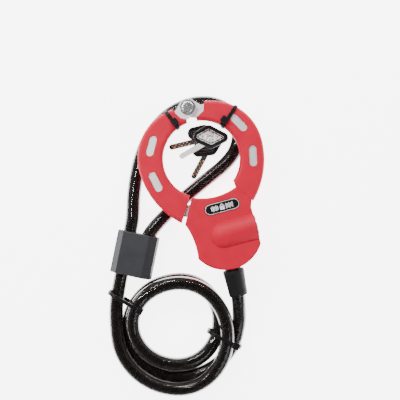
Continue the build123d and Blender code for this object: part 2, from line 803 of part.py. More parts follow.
# The wound part of the cable: a lower turn on the floor and an upper one on it.
turns = [
    (floor_z, 12.2, (-14.0, -145.0), (55.0, 49.0), (-23.8, -145.2), (32.5, 36.0)),
    (floor_z + 6.5, 17.6, (-25.1, -150.3), (53.2, 50.8), (-21.3, -140.1), (31.4, 28.7)),
]
with BuildPart() as cable_coil:
    for bottom, height, outer_centre, outer_size, inner_centre, inner_size in turns:
        with BuildSketch(Plane.XY.offset(bottom)):
            with Locations(outer_centre):
                Ellipse(*outer_size)
            with Locations(inner_centre):
                Ellipse(*inner_size, mode=Mode.SUBTRACT)
        extrude(amount=height)
save(cable_coil, "cable_coil")


# ---------------------------------------------------------------- ferrule of the eye
section_plane = Plane(origin=ferrule_point(0, half_length), x_dir=ferrule_x,
                      z_dir=(-ferrule_y[0], -ferrule_y[1], 0))
crimp_size = (31.2, 14.6)
crimp_corner = 5.9
crimp_play = 0.1
mouth_radius = cable_radius + 0.5

with BuildPart() as ferrule_cover:
    half_w, half_h = ferrule_half[0], ferrule_half[2]
    quarter = [(half_w, half_h - ferrule_bevel[1]), (half_w - ferrule_bevel[0], half_h)]
    section = (quarter + [(-x, y) for x, y in reversed(quarter)]
               + [(-x, -y) for x, y in quarter] + [(x, -y) for x, y in reversed(quarter)])
    with BuildSketch(section_plane):
        with BuildLine():
            Polyline(*section, close=True)
        make_face()
    extrude(amount=ferrule_size[1])
    chamfer(ferrule_cover.faces().filter_by(Axis(ferrule_point(0, 0), ferrule_y)).edges(), 0.6)
    with BuildSketch(section_plane.offset(crimp_inset)):
        RectangleRounded(crimp_size[0] + 2 * crimp_play, crimp_size[1] + 2 * crimp_play,
                         crimp_corner + crimp_play)
    extrude(amount=crimp_length, mode=Mode.SUBTRACT)
    with BuildSketch(section_plane):
        with Locations((-ferrule_bore_x, 0)):
            Circle(cable_radius + 0.1)
    extrude(amount=ferrule_size[1], mode=Mode.SUBTRACT)
    with BuildSketch(section_plane):
        with Locations((ferrule_bore_x, 0)):
            Circle(mouth_radius)
    extrude(amount=half_length, mode=Mode.SUBTRACT)
    with BuildSketch(Plane(origin=mouth, z_dir=Vector(*mouth_exit) - Vector(*mouth))):
        Circle(mouth_radius)
    extrude(amount=12, mode=Mode.SUBTRACT)
save(ferrule_cover, "ferrule_cover")

with BuildPart() as ferrule_crimp:
    with BuildSketch(section_plane.offset(crimp_inset + crimp_play)):
        RectangleRounded(*crimp_size, crimp_corner)
        with Locations((-ferrule_bore_x, 0), (ferrule_bore_x, 0)):
            Circle(cable_radius + 0.04, mode=Mode.SUBTRACT)
    extrude(amount=crimp_length - 2 * crimp_play)
save(ferrule_crimp, "ferrule_crimp")

# The two lengths of cable held in the crimp: one runs through, one ends there.
for name, x, start, end in (("cable_through_ferrule", -ferrule_bore_x, 0, ferrule_size[1]),
                            ("cable_end_in_ferrule", ferrule_bore_x, crimp_inset,
                             crimp_inset + crimp_length - 1.0)):
    with BuildPart() as stub:
        with BuildSketch(section_plane.offset(start)):
            with Locations((x, 0)):
                Circle(cable_radius)
        extrude(amount=end - start)
    save(stub, name)


# ---------------------------------------------------------------- cable ties
tie_thick = 1.1
tie_width = 3.0
head_size = (5.6, 5.4)
head_rise = 4.4
head_sink = 0.4                 # a coil tie's head sits this far below the strap's top


def arm_tie(side, angle, head_angle, head_radius):
    """A tie strapped round one arm of the cuff, its head on top."""
    outer = math.hypot(*edge_point(side, angle))
    head_plane = level(ring_half - 0.5)
    with BuildPart() as tie:
        with BuildSketch(radial_plane(angle)):
            with Locations(((outer + ring_inner) / 2, 0)):
                RectangleRounded(outer - ring_inner + 2 * tie_thick, 2 * (ring_half + tie_thick),
                                 cover_corner + tie_thick)
        extrude(amount=tie_width / 2, both=True)
        with BuildSketch(head_plane):
            with Locations(polar(head_radius, head_angle)):
                RectangleRounded(*head_size, 0.8, rotation=angle)
        extrude(amount=head_rise + 0.5)
        # the strap's cut-off end stands out of the head
        with BuildSketch(head_plane.offset(2.0)):
            with Locations(polar(head_radius - head_size[0] / 2 - 1.2, head_angle)):
                Rectangle(3.0, tie_width, rotation=angle)
        extrude(amount=tie_thick)
        add(arm_bar(side), mode=Mode.SUBTRACT)
    return tie


# side, angle of the strap, then the angle and radius of its head
save(arm_tie(-1, 112.5, 111.5, 37.8), "swing_arm_tie")
save(arm_tie(1, 41.5, 44.5, 37.6), "fixed_arm_tie")


def coil_tie(start, heading, span, height, head_at):
    """A tie round the strands of the coil, in an upright plane from start on the floor."""
    h = math.radians(heading)
    plane = Plane(origin=(start[0], start[1], floor_z), x_dir=(math.cos(h), math.sin(h), 0),
                  z_dir=(math.sin(h), -math.cos(h), 0))
    with BuildPart() as tie:
        with BuildSketch(plane):
            with Locations((span / 2, height / 2)):
                RectangleRounded(span, height, 8.0)
                RectangleRounded(span - 2 * tie_thick, height - 2 * tie_thick, 7.0, mode=Mode.SUBTRACT)
        extrude(amount=tie_width / 2, both=True)
        with BuildSketch(plane):
            with Locations((head_at, height - head_sink)):
                RectangleRounded(head_size[0], head_rise, 0.6)
        extrude(amount=head_size[1] / 2, both=True)
    return tie


save(coil_tie((-79.0, -112.6), -30.0, 33.5, 24.6, 31.0), "coil_tie_left")
save(coil_tie((5.2, -145.6), -26.7, 32.0, 24.6, 27.0), "coil_tie_right")


# ---------------------------------------------------------------- keys
key_thick = 4.1
key_step = 4.4                  # from one key of the pile to the next
blade_width = 4.6
blade_thick = 2.3
blade_root = -3.0               # the blade's inner end, inside the grip
blade_tip = -31.4
inlay_inset = 3.3
inlay_depth = 0.6
inlay_rise = 0.2
grip_round = 0.9
dimple_places = [-28.4, -25.2, -22.0, -18.8, -15.6]
dimple_row = 1.1                # each row's distance from the blade's middle
dimple_shift = 1.6              # the second row is set along by this much
dimple_radius = 0.65
dimple_depth = 0.5
# The grip is drawn round four discs: x, y and radius, with x along the key.
grip_discs = [(-8.0, 7.0, 5.4), (0.9, 6.5, 5.9), (9.2, -3.7, 4.4), (-1.3, -1.6, 5.9)]


def grip_outline(plane, inset=0.0):
    with BuildSketch(plane) as face:
        for x, y, radius in grip_discs:
            with Locations((x, y)):
                Circle(radius - inset)
        make_hull()
    return face.sketch


def key(number, centre, heading, bottom):
    h = math.radians(heading)
    plane = Plane(origin=(centre[0], centre[1], bottom), x_dir=(math.cos(h), math.sin(h), 0),
                  z_dir=(0, 0, 1))
    blade_plane = plane.offset((key_thick - blade_thick) / 2)
    inlay_plane = plane.offset(key_thick - inlay_depth)
    with BuildPart() as grip:
        extrude(grip_outline(plane), amount=key_thick)
        fillet(grip.faces().sort_by(Axis.Z)[-1].edges(), grip_round)
        fillet(grip.faces().sort_by(Axis.Z)[0].edges(), grip_round)
        extrude(grip_outline(inlay_plane, inlay_inset), amount=3, mode=Mode.SUBTRACT)
        with BuildSketch(blade_plane):
            with Locations((blade_root, 0)):
                Rectangle(15.0, blade_width + 0.02, align=(Align.MAX, Align.CENTER))
        extrude(amount=blade_thick, mode=Mode.SUBTRACT)
    save(grip, f"key_{number}_grip")
    with BuildPart() as blade:
        half = blade_width / 2
        with BuildSketch(blade_plane):
            with BuildLine():
                Polyline((blade_root, -half), (blade_tip + 1.4, -half), (blade_tip, -0.9),
                         (blade_tip, 0.9), (blade_tip + 1.4, half), (blade_root, half), close=True)
            make_face()
        extrude(amount=blade_thick)
        # two rows of dimples in both faces
        for face_z, depth in ((blade_thick, -dimple_depth), (0, dimple_depth)):
            with BuildSketch(blade_plane.offset(face_z)):
                for x in dimple_places:
                    with Locations((x, dimple_row), (x + dimple_shift, -dimple_row)):
                        Circle(dimple_radius)
            extrude(amount=depth, mode=Mode.SUBTRACT)
    save(blade, f"key_{number}_blade")
    with BuildPart() as inlay:
        extrude(grip_outline(inlay_plane, inlay_inset + 0.02), amount=inlay_depth + inlay_rise)
        fillet(inlay.faces().sort_by(Axis.Z)[-1].edges(), 0.18)
    save(inlay, f"key_{number}_inlay")


# a pile of three, the lowest on the floor: place and heading of each
key(3, (7.4, 11.4), 61.6, floor_z)
key(2, (2.9, 17.4), 13.5, floor_z + key_step)
key(1, (8.6, 17.2), 30.0, floor_z + 2 * key_step)
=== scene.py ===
import json
import math

import bpy
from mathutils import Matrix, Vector


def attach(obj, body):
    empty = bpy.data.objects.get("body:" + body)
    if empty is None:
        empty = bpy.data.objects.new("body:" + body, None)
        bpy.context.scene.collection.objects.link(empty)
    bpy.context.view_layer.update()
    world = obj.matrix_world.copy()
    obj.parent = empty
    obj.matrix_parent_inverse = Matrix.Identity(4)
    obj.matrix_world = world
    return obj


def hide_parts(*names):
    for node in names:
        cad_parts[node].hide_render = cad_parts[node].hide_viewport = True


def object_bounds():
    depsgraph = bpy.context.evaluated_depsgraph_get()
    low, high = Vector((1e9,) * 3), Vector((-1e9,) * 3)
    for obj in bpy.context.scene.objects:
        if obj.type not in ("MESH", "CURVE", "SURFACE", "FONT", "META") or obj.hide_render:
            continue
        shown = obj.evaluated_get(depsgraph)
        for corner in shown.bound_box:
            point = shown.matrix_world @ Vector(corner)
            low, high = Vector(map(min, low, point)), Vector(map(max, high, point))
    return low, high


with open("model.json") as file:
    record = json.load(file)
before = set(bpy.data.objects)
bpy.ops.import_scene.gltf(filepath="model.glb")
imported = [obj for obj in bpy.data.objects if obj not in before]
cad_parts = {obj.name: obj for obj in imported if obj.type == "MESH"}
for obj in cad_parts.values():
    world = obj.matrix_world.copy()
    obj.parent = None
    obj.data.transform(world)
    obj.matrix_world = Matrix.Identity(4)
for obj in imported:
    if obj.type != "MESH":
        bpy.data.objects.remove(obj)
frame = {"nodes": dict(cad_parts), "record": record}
cad_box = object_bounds()

# A cuff lock with its looped security cable, lying on a floor and seen from straight above.
# Places are in millimetres in the frame's own axes until an object is made in metres.
MM = 0.001
FLOOR = cad_box[0][2]
FLOOR_Z = FLOOR / MM


# ---------------------------------------------------------------- camera
CAMERA_HEIGHT = 0.850
VIEW_WIDTH = 0.3464          # how much of the floor the picture spans
VIEW_CENTRE = (-0.0012, -0.0348)
SENSOR = 36.0

camera_data = bpy.data.cameras.new("camera")
camera_data.sensor_width = SENSOR
camera_data.lens = SENSOR * CAMERA_HEIGHT / VIEW_WIDTH
camera_data.clip_start = 0.05
camera = bpy.data.objects.new("camera", camera_data)
camera.location = (VIEW_CENTRE[0], VIEW_CENTRE[1], FLOOR + CAMERA_HEIGHT)
bpy.context.collection.objects.link(camera)
bpy.context.scene.camera = camera


# ---------------------------------------------------------------- the cable's route
CABLE_RADIUS = 6.0
LOCK_TILT = math.radians(15.0)
LOCK_X = Vector((math.cos(LOCK_TILT), math.sin(LOCK_TILT), 0))
LOCK_Y = Vector((-math.sin(LOCK_TILT), math.cos(LOCK_TILT), 0))
RELIEF_ROOT = 1.8 * LOCK_X - 95.4 * LOCK_Y
RELIEF_HEADING = math.radians(-78.0)
RELIEF_TILT = math.radians(5.0)
relief_way = Vector((math.cos(RELIEF_HEADING) * math.cos(RELIEF_TILT),
                     math.sin(RELIEF_HEADING) * math.cos(RELIEF_TILT), -math.sin(RELIEF_TILT)))

# From the strain relief down to the wound part.
lead_points = [
    RELIEF_ROOT + 0.45 * relief_way,
    RELIEF_ROOT + 21 * relief_way,
    Vector((32.4, -130.0, FLOOR_Z + 13.0)),
]
# Where each quarter of the wound turns is at its widest: right, bottom, left, top and
# so on, clockwise, as x, y and the height of the cable's middle above the floor.
turn_stations = [
    (31.4, -140.0, 9.0),
    (-19.8, -186.5, 6.0),
    (-62.8, -144.6, 6.0),
    (-18.0, -103.1, 6.0),
    (15.2, -138.4, 6.2),
    (-19.6, -175.2, 12.5),
    (-58.5, -139.5, 17.3),
    (-17.8, -105.4, 17.7),
    (22.1, -150.0, 18.0),
    (-19.6, -195.7, 14.5),
    (-72.6, -143.6, 12.6),
]
QUARTER_POINTS = 4
HULL_SWELL = 1.019            # a spline runs this much inside its points on a circle

# the ferrule lies rolled onto its left lower edge, which sets its middle's height
FERRULE_CENTRE = Vector((-56.9, -81.3, FLOOR_Z + 11.15))
FERRULE_TURN = math.radians(-11.5)
FERRULE_ROLL = math.radians(12.0)
FERRULE_HALF = 18.3
BORE_X = 8.1
CRIMP_HALF = 12.0
ferrule_x = Vector((math.cos(FERRULE_TURN) * math.cos(FERRULE_ROLL),
                    math.sin(FERRULE_TURN) * math.cos(FERRULE_ROLL), math.sin(FERRULE_ROLL)))
ferrule_y = Vector((-math.sin(FERRULE_TURN), math.cos(FERRULE_TURN), 0))


def ferrule_point(x, y):
    """A point of the plane through both of the ferrule's bores."""
    return FERRULE_CENTRE + x * ferrule_x + y * ferrule_y


tail_points = [
    (-73.0, -123.5, -10.8),
    ferrule_point(-BORE_X, -FERRULE_HALF - 10),
    ferrule_point(-BORE_X, -FERRULE_HALF),
]
ON_FLOOR = FLOOR_Z + CABLE_RADIUS
eye_points = [
    ferrule_point(-BORE_X, FERRULE_HALF),
    ferrule_point(-BORE_X, FERRULE_HALF + 12),
    (-58.3, -31.0, FLOOR_Z + 6.8),
    (-55.5, -10.5, ON_FLOOR),
    (-50.0, 9.0, ON_FLOOR),
    (-41.0, 26.0, ON_FLOOR),
    (-27.5, 40.0, ON_FLOOR),
    (-10.0, 48.3, ON_FLOOR),
    (9.0, 49.3, ON_FLOOR),
    (24.5, 42.0, ON_FLOOR),
    (32.5, 27.5, ON_FLOOR),
    (31.2, 10.5, ON_FLOOR),
    (22.0, -3.0, ON_FLOOR),
    (5.0, -16.6, ON_FLOOR),
    (-13.2, -31.6, ON_FLOOR),
    (-28.9, -46.0, FLOOR_Z + 7.2),
    (-38.9, -56.4, FLOOR_Z + 11.0),
    ferrule_point(BORE_X, FERRULE_HALF - 1.0),
    ferrule_point(BORE_X, CRIMP_HALF),
    ferrule_point(BORE_X, -CRIMP_HALF + 1.0),
]


def quarter_turn(start, end, from_side):
    """Points of a quarter ellipse from one widest place of a turn to the next."""
    if from_side:
        centre = (end[0], start[1])
    else:
        centre = (start[0], end[1])
    points = []
    for step in range(QUARTER_POINTS):
        share = step / QUARTER_POINTS
        angle = math.radians(90.0 * share)
        along, across = math.cos(angle), math.sin(angle)
        if from_side:
            x = centre[0] + HULL_SWELL * (start[0] - centre[0]) * along
            y = centre[1] + HULL_SWELL * (end[1] - centre[1]) * across
        else:
            x = centre[0] + HULL_SWELL * (end[0] - centre[0]) * across
            y = centre[1] + HULL_SWELL * (start[1] - centre[1]) * along
        points.append((x, y, FLOOR_Z + start[2] + (end[2] - start[2]) * share))
    return points


coil_points = []
for number, (start, end) in enumerate(zip(turn_stations, turn_stations[1:])):
    coil_points += quarter_turn(start, end, from_side=number % 2 == 0)
last = turn_stations[-1]
coil_points.append((last[0], last[1], FLOOR_Z + last[2]))

route = [Vector(p) * MM for p in lead_points + coil_points + tail_points + eye_points]


def link(obj):
    bpy.context.collection.objects.link(obj)
    return obj


def spline_object(name, points, bevel=0.0, resolution=8):
    """A NURBS curve through the frame, following its points smoothly."""
    data = bpy.data.curves.new(name, "CURVE")
    data.dimensions = "3D"
    data.resolution_u = resolution
    data.bevel_depth = bevel
    data.bevel_resolution = 6
    data.use_fill_caps = True
    spline = data.splines.new("NURBS")
    spline.points.add(len(points) - 1)
    for target, point in zip(spline.points, points):
        target.co = (*point, 1.0)
    spline.order_u = 3
    spline.use_endpoint_u = True
    return link(bpy.data.objects.new(name, data))


def spline_samples(points, resolution):
    """Points read from the smooth spline itself."""
    obj = spline_object("route_reading", points, resolution=resolution)
    mesh = bpy.data.meshes.new_from_object(obj)
    places = [v.co.copy() for v in mesh.vertices]
    bpy.data.objects.remove(obj)
    return places


ROUTE_STEPS = 10
samples = spline_samples(route, ROUTE_STEPS)


# ---------------------------------------------------------------- materials
class Surface:
    """A procedural material, built up one effect at a time on a Principled shader."""

    def __init__(self, name, colour, roughness, metallic=0.0, coat=0.0):
        self.material = bpy.data.materials.new(name)
        self.material.use_nodes = True
        self.nodes = self.material.node_tree.nodes
        self.link = self.material.node_tree.links.new
        self.shader = self.nodes["Principled BSDF"]
        self.shader.inputs["Base Color"].default_value = (*colour, 1.0)
        self.shader.inputs["Roughness"].default_value = roughness
        self.shader.inputs["Metallic"].default_value = metallic
        self.shader.inputs["Coat Weight"].default_value = coat
        self.shader.inputs["Coat Roughness"].default_value = 0.15
        self.place = self.nodes.new("ShaderNodeTexCoord").outputs["Object"]
        self.colour = colour
        self.normal = None

    def noise(self, scale, detail=4.0, stretch=(1.0, 1.0, 1.0), turn=0.0):
        """A noise pattern, in features per metre, which may be drawn out along an axis."""
        mapping = self.nodes.new("ShaderNodeMapping")
        mapping.inputs["Scale"].default_value = stretch
        mapping.inputs["Rotation"].default_value = (0.0, 0.0, turn)
        texture = self.nodes.new("ShaderNodeTexNoise")
        texture.inputs["Scale"].default_value = scale
        texture.inputs["Detail"].default_value = detail
        self.link(self.place, mapping.inputs["Vector"])
        self.link(mapping.outputs["Vector"], texture.inputs["Vector"])
        return texture.outputs["Fac"]

    def ramp(self, source, stops):
        node = self.nodes.new("ShaderNodeValToRGB")
        elements = node.color_ramp.elements
        while len(elements) < len(stops):
            elements.new(0.5)
        for element, (position, colour) in zip(elements, stops):
            element.position = position
            element.color = (*colour, 1.0)
        self.link(source, node.inputs["Fac"])
        return node.outputs["Color"]

    def paint(self, source, stops):
        """Colours along a pattern."""
        self.colour = self.ramp(source, stops)
        self.link(self.colour, self.shader.inputs["Base Color"])
        return self

    def uneven(self, source, low, high):
        """Roughness along a pattern."""
        node = self.nodes.new("ShaderNodeMapRange")
        node.inputs["To Min"].default_value = low
        node.inputs["To Max"].default_value = high
        self.link(source, node.inputs["Value"])
        self.link(node.outputs["Result"], self.shader.inputs["Roughness"])
        return self

    def bump(self, source, strength, depth):
        """Relief along a pattern, over any relief already there."""
        node = self.nodes.new("ShaderNodeBump")
        node.inputs["Strength"].default_value = strength
        node.inputs["Distance"].default_value = depth
        self.link(source, node.inputs["Height"])
        if self.normal:
            self.link(self.normal, node.inputs["Normal"])
        self.normal = node.outputs["Normal"]
        self.link(self.normal, self.shader.inputs["Normal"])
        return self

    def rounded(self, radius):
        """Edges that catch the light as if they had this radius, in metres."""
        node = self.nodes.new("ShaderNodeBevel")
        node.samples = 6
        node.inputs["Radius"].default_value = radius
        self.normal = node.outputs["Normal"]
        self.link(self.normal, self.shader.inputs["Normal"])
        return self

    def clear_above_shaded_sides(self, top, side):
        """Lets light through where it faces up, and less where it faces sideways, so the sides go solid
        dark as painted shade.
        """
        geometry = self.nodes.new("ShaderNodeNewGeometry")
        split = self.nodes.new("ShaderNodeSeparateXYZ")
        node = self.nodes.new("ShaderNodeMapRange")
        node.inputs["From Min"].default_value = 0.45
        node.inputs["From Max"].default_value = 0.90
        node.inputs["To Min"].default_value = side
        node.inputs["To Max"].default_value = top
        self.link(geometry.outputs["Normal"], split.inputs["Vector"])
        self.link(split.outputs["Z"], node.inputs["Value"])
        self.link(node.outputs["Result"], self.shader.inputs["Alpha"])
        return self

    def wear_and_sheen(self, radius, wear_and_sheen_colour, amount):
        """Paler along the edges, in patches: rubbed wear, and a painted highlight on the edges."""
        bevel = self.nodes.new("ShaderNodeBevel")
        bevel.samples = 6
        bevel.inputs["Radius"].default_value = radius
        flat = self.nodes.new("ShaderNodeNewGeometry")
        dot = self.nodes.new("ShaderNodeVectorMath")
        dot.operation = "DOT_PRODUCT"
        self.link(bevel.outputs["Normal"], dot.inputs[0])
        self.link(flat.outputs["Normal"], dot.inputs[1])
        edge = self.nodes.new("ShaderNodeMapRange")
        edge.inputs["From Min"].default_value = 0.995
        edge.inputs["From Max"].default_value = 0.90
        edge.inputs["To Max"].default_value = amount
        self.link(dot.outputs["Value"], edge.inputs["Value"])
        patchy = self.nodes.new("ShaderNodeMath")
        patchy.operation = "MULTIPLY"
        self.link(edge.outputs["Result"], patchy.inputs[0])
        self.link(self.noise(420.0, 3.0), patchy.inputs[1])
        mix = self.nodes.new("ShaderNodeMix")
        mix.data_type = "RGBA"
        self.link(patchy.outputs["Value"], mix.inputs["Factor"])
        if isinstance(self.colour, tuple):
            mix.inputs["A"].default_value = (*self.colour, 1.0)
        else:
            self.link(self.colour, mix.inputs["A"])
        mix.inputs["B"].default_value = (*wear_and_sheen_colour, 1.0)
        self.colour = mix.outputs["Result"]
        self.link(self.colour, self.shader.inputs["Base Color"])
        return self


def plastic(name, colour, roughness, grain=2600.0, relief=0.25, variety=0.25, wear_and_sheen_colour=None, coat=0.0,
            shine=0.5):
    """Moulded plastic: fine grain, slightly uneven colour and gloss, edges painted paler as rubbed wear
    and as a painted edge highlight.
    """
    surface = Surface(name, colour, roughness, coat=coat).rounded(0.0004)
    surface.shader.inputs["Specular IOR Level"].default_value = shine
    darker = tuple(c * (1.0 - variety) for c in colour)
    surface.paint(surface.noise(90.0), [(0.35, darker), (0.65, colour)])
    # paler edges: rubbed wear and a painted edge highlight
    if wear_and_sheen_colour:
        surface.wear_and_sheen(0.0006, wear_and_sheen_colour, 1.2)
    surface.uneven(surface.noise(260.0), roughness * 0.82, roughness * 1.2)
    surface.bump(surface.noise(grain, 2.0), relief, 0.00006)
    return surface.material


def metal(name, colour, roughness, streak=None, turn=0.0, relief=0.15, variety=0.18):
    """Metal, brushed along one way where streak is given."""
    surface = Surface(name, colour, roughness, metallic=1.0).rounded(0.0003)
    stretch = (0.06, 1.0, 1.0) if streak else (1.0, 1.0, 1.0)
    lines = surface.noise(streak or 700.0, 6.0, stretch, turn)
    darker = tuple(c * (1.0 - variety) for c in colour)
    surface.paint(lines, [(0.3, darker), (0.7, colour)])
    surface.uneven(lines, roughness * 0.7, roughness * 1.35)
    surface.bump(lines, relief, 0.00005)
    surface.bump(surface.noise(150.0, 3.0), 0.08, 0.0002)
    return surface.material


red = plastic("red_cover", (0.52, 0.002, 0.026), 0.50, grain=3000.0, relief=0.16, variety=0.08, coat=0.0,
              shine=0.2)
steel = metal("steel", (0.98, 0.97, 0.98), 0.42, streak=5200.0, turn=LOCK_TILT)
dark_steel = metal("dark_steel", (0.42, 0.42, 0.43), 0.34)
zinc = metal("zinc_hardware", (0.78, 0.78, 0.80), 0.22, relief=0.3)
brass = metal("brass", (0.70, 0.50, 0.22), 0.30)
cast = metal("die_cast", (0.50, 0.50, 0.50), 0.50, relief=0.5)
# badge rim, badge marks and key inlays: chrome given a bright diffuse colour, a painted reflection
bright = plastic("silver_with_painted_reflection", (0.88, 0.88, 0.88), 0.22, relief=0.2, variety=0.35, coat=0.5)
# key 1's inlay: bright as a painted chrome reflection, darker in the low parts of its relief
embossed = Surface("embossed_silver_with_painted_reflection", (0.9, 0.9, 0.9), 0.25)
embossing = embossed.noise(480.0, 3.0)
embossed.paint(embossing, [(0.44, (0.30, 0.30, 0.31)), (0.50, (0.98, 0.98, 0.98))])
embossed.bump(embossing, 0.5, 0.0002)
black_gloss = plastic("black_gloss", (0.008, 0.008, 0.009), 0.14, relief=0.05, coat=0.6)
grip_black = plastic("key_grip", (0.010, 0.010, 0.011), 0.20, relief=0.12, wear_and_sheen_colour=(0.08, 0.08, 0.08),
                     coat=0.5)
rubber = plastic("black_rubber", (0.005, 0.005, 0.006), 0.55, grain=1800.0, relief=0.4, shine=0.2)
grey = plastic("grey_plastic", (0.024, 0.0245, 0.028), 0.48, grain=2400.0, relief=0.3, variety=0.2,
               wear_and_sheen_colour=(0.05, 0.05, 0.055), shine=0.2)
nylon = plastic("nylon", (0.005, 0.005, 0.006), 0.35, grain=1500.0, relief=0.3,
                wear_and_sheen_colour=(0.05, 0.05, 0.05), shine=0.2)
key_silver = metal("key_blade_silver", (0.95, 0.95, 0.95), 0.48, streak=3000.0, turn=math.radians(-30))
# the blades of keys 2 and 3 are painted dark: a painted reflection of dark surroundings in their chrome
key_blade_dark_reflection = metal("key_blade_painted_dark_reflection", (0.16, 0.14, 0.13), 0.26, streak=3000.0, turn=math.radians(-30))
copper = metal("key_copper", (0.78, 0.42, 0.24), 0.28)

slot_material = {
    "steel": steel, "dark_steel": dark_steel, "zinc_hardware": zinc, "red_cover": red,
    "badge_black": black_gloss, "brass": brass, "die_cast": cast, "black_rubber": rubber,
    "cable_jacket": rubber, "grey_plastic": grey, "nylon": nylon, "key_grip": grip_black,
    "key_blade": key_blade_dark_reflection, "key_inlay": bright,
}
for entry in frame["record"]["subparts"]:
    node = frame["nodes"][entry["node"]]
    node.data.materials.clear()
    node.data.materials.append(slot_material[entry["material_slot"]])
frame["nodes"]["key_1_blade"].data.materials[0] = key_silver
frame["nodes"]["key_1_inlay"].data.materials[0] = embossed.material
# the inlays of keys 2 and 3 take the same painted dark reflection
for name in ("key_2_inlay", "key_3_inlay"):
    frame["nodes"][name].data.materials[0] = key_blade_dark_reflection


# ---------------------------------------------------------------- cable
# A clear smoky jacket over twisted steel strands that lie in a dark filler.
STRANDS = 14                 # they stand a little out of the filler
STRAND_RADIUS = 0.95
STRAND_RING = 4.5
FILLER_RADIUS = 5.1
LAY_LENGTH = 34.0            # one full twist of the strands
JACKET_TOP = 0.26            # how solid the jacket looks where it faces up, and sideways, where the solid dark is painted shade
JACKET_SHADED_SIDE = 0.97

jacket_surface = Surface("cable_jacket", (0.016, 0.012, 0.011), 0.06, coat=1.0)
jacket_surface.uneven(jacket_surface.noise(300.0), 0.03, 0.10)
jacket_surface.bump(jacket_surface.noise(160.0, 2.0), 0.12, 0.0003)
jacket_surface.shader.inputs["Coat Roughness"].default_value = 0.03
# the jacket's sides are made near solid and dark: painted shade
jacket_surface.clear_above_shaded_sides(JACKET_TOP, JACKET_SHADED_SIDE)
jacket = jacket_surface.material

strand_surface = Surface("cable_strands", (0.2, 0.16, 0.14), 0.35, metallic=0.2)
strand_surface.paint(strand_surface.noise(1300.0, 3.0),
                     [(0.36, (0.02, 0.012, 0.010)), (0.46, (0.10, 0.065, 0.052)),
                      (0.55, (0.20, 0.165, 0.155)), (0.68, (0.80, 0.76, 0.74))])
strand_surface.bump(strand_surface.noise(2400.0, 2.0), 0.7, 0.0002)
strand_material = strand_surface.material
filler = plastic("cable_filler", (0.014, 0.010, 0.009), 0.5)

cable = spline_object("cable", route, bevel=CABLE_RADIUS * MM)
cable.data.materials.append(jacket)


def frames_along(centres):
    """For each point of a line, two directions across it that don't twist along the way."""
    across = Vector((0, 0, 1))
    frames = []
    for number, centre in enumerate(centres):
        before = centres[max(number - 1, 0)]
        after = centres[min(number + 1, len(centres) - 1)]
        way = (after - before).normalized()
        across = (across - across.dot(way) * way).normalized()
        frames.append((centre, across.copy(), way.cross(across)))
    return frames


def add_tube(vertices, faces, frames, radius, sides, offset=0.0, start=0.0, twist=0.0):
    """A tube along the frames, or beside them and twisting round them, as mesh data."""
    first = len(vertices)
    travelled = 0.0
    for number, (centre, u, v) in enumerate(frames):
        if number:
            travelled += (centre - frames[number - 1][0]).length
        turn = start + twist * travelled
        middle = centre + offset * (math.cos(turn) * u + math.sin(turn) * v)
        for side in range(sides):
            angle = 2 * math.pi * side / sides
            vertices.append(middle + radius * (math.cos(angle) * u + math.sin(angle) * v))
    for ring in range(len(frames) - 1):
        for side in range(sides):
            a = first + ring * sides + side
            b = first + ring * sides + (side + 1) % sides
            faces.append((a, b, b + sides, a + sides))
    faces.append(tuple(first + side for side in reversed(range(sides))))
    end = first + (len(frames) - 1) * sides
    faces.append(tuple(end + side for side in range(sides)))


def mesh_object(name, vertices, faces, material, smooth=True):
    data = bpy.data.meshes.new(name)
    data.from_pydata([tuple(v) for v in vertices], [], faces)
    data.materials.append(material)
    data.polygons.foreach_set("use_smooth", [smooth] * len(data.polygons))
    return link(bpy.data.objects.new(name, data))


cable_frames = frames_along(samples)
vertices, faces = [], []
for number in range(STRANDS):
    add_tube(vertices, faces, cable_frames, STRAND_RADIUS * MM, 8, STRAND_RING * MM,
             2 * math.pi * number / STRANDS, 2 * math.pi / (LAY_LENGTH * MM))
strands = mesh_object("cable_strands", vertices, faces, strand_material)
vertices, faces = [], []
add_tube(vertices, faces, cable_frames, FILLER_RADIUS * MM, 12)
filler_tube = mesh_object("cable_filler", vertices, faces, filler)
for piece, finish in ((cable, "cable_jacket"), (strands, "dark_steel"), (filler_tube, "cable_jacket")):
    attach(piece, "lock_and_cable")
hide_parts("cable_lead", "cable_coil", "cable_tail", "cable_through_ferrule",
            "cable_end_in_ferrule", "cable_eye")


# ---------------------------------------------------------------- badge and key details
def lock_place(x, y, z):
    return x * LOCK_X + y * LOCK_Y + Vector((0, 0, z))


def band(name, outer, inner, low, high, material):
    """A closed flat ring between two outlines of the same number of points, in millimetres."""
    count = len(outer)
    rows = [[(p[0], p[1], z) for p in line] for line, z in
            ((outer, low), (outer, high), (inner, high), (inner, low))]
    vertices = [Vector(p) * MM for row in rows for p in row]
    faces = []
    for row in range(4):
        for number in range(count):
            following = (number + 1) % count
            below, above = row * count, (row + 1) % 4 * count
            faces.append((below + number, below + following, above + following, above + number))
    return mesh_object(name, vertices, faces, material, smooth=False)


def slab(name, outline, low, high, material):
    """A closed flat plate with this outline, in millimetres."""
    count = len(outline)
    vertices = [Vector((p[0], p[1], z)) * MM for z in (low, high) for p in outline]
    faces = [tuple(reversed(range(count))), tuple(range(count, 2 * count))]
    for number in range(count):
        following = (number + 1) % count
        faces.append((number, following, count + following, count + number))
    return mesh_object(name, vertices, faces, material, smooth=False)


BADGE_CENTRE = (6.2, -43.5)
BADGE_SIZE = (29.8, 9.2)
BADGE_TOP = 9.52


